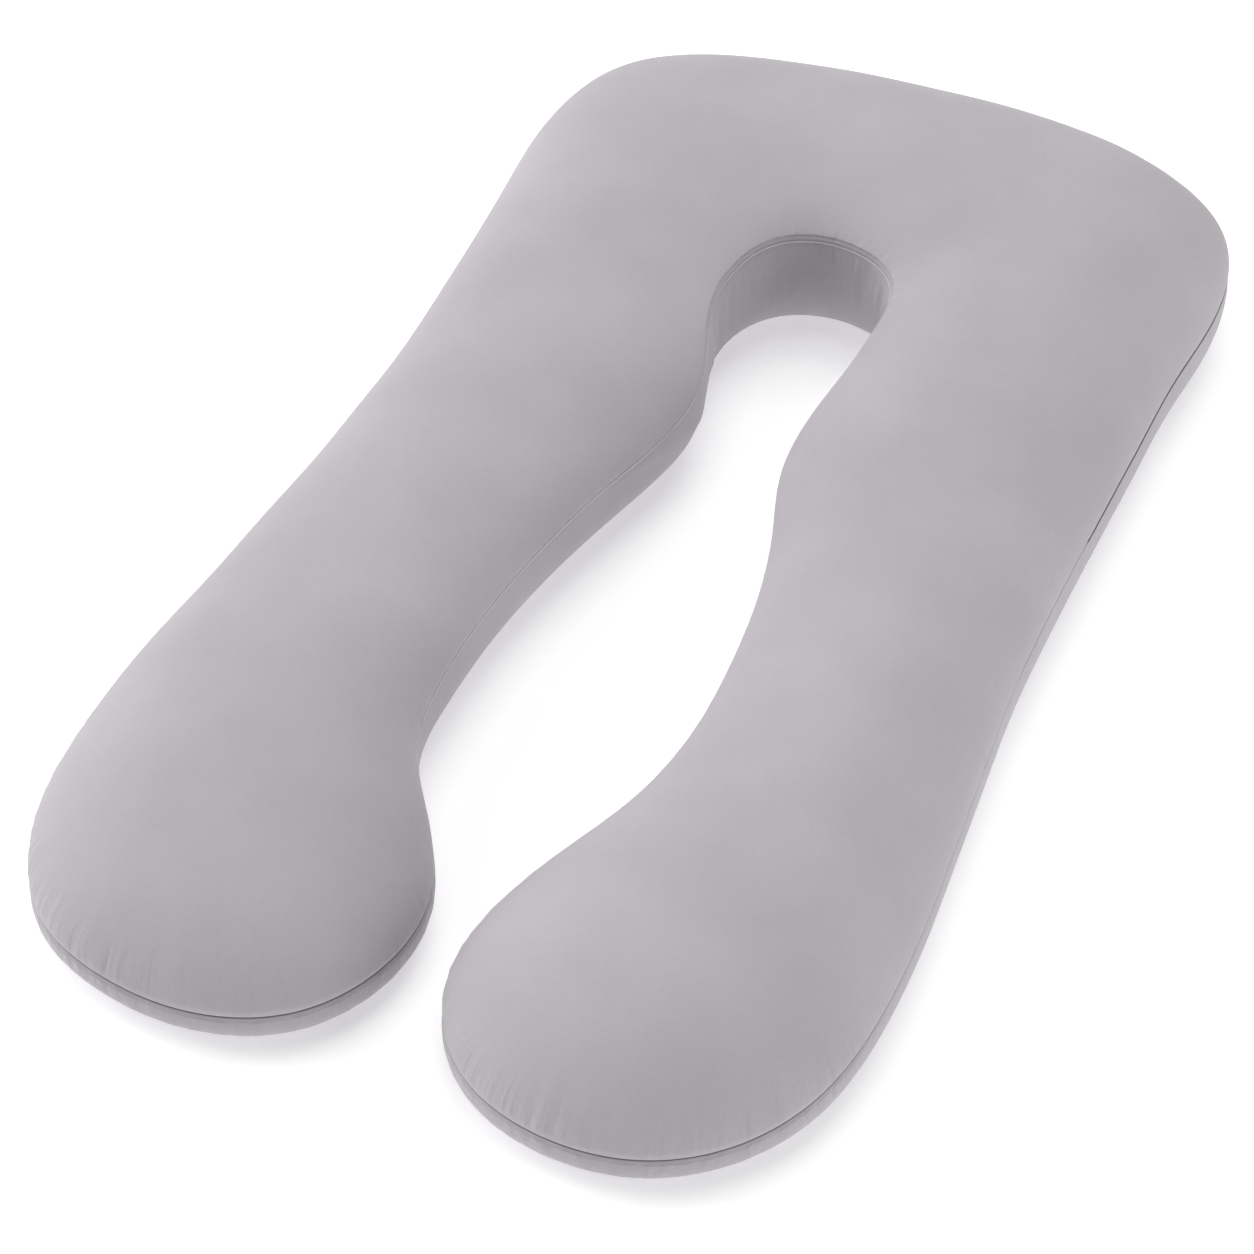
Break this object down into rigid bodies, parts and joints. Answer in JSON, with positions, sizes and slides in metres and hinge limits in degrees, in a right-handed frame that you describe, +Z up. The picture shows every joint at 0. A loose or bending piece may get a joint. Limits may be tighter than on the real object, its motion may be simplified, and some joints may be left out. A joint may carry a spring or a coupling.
{
  "type": "u-shaped pregnancy pillow",
  "caption": "Long filled body pillow bent into a U with rounded leg ends, a neck hole, a belly gap, a seam all round and a concealed zip; lies on its back.",
  "frame": {"origin": "middle of the footprint, on the surface that the pillow lies on", "axes": "+Y towards the closed end of the U, +X towards the leg that has the zip above it, +Z up"},
  "size_m": [0.7944, 1.3932, 0.18],
  "materials": {
    "cover_cloth": "matte soft knit, mauve grey",
    "zip_tape": "matte woven tape, darker mauve grey"
  },
  "bodies": {
    "root": {"pillow": "cover_cloth", "zip_strip": "zip_tape"}
  },
  "joints": []
}
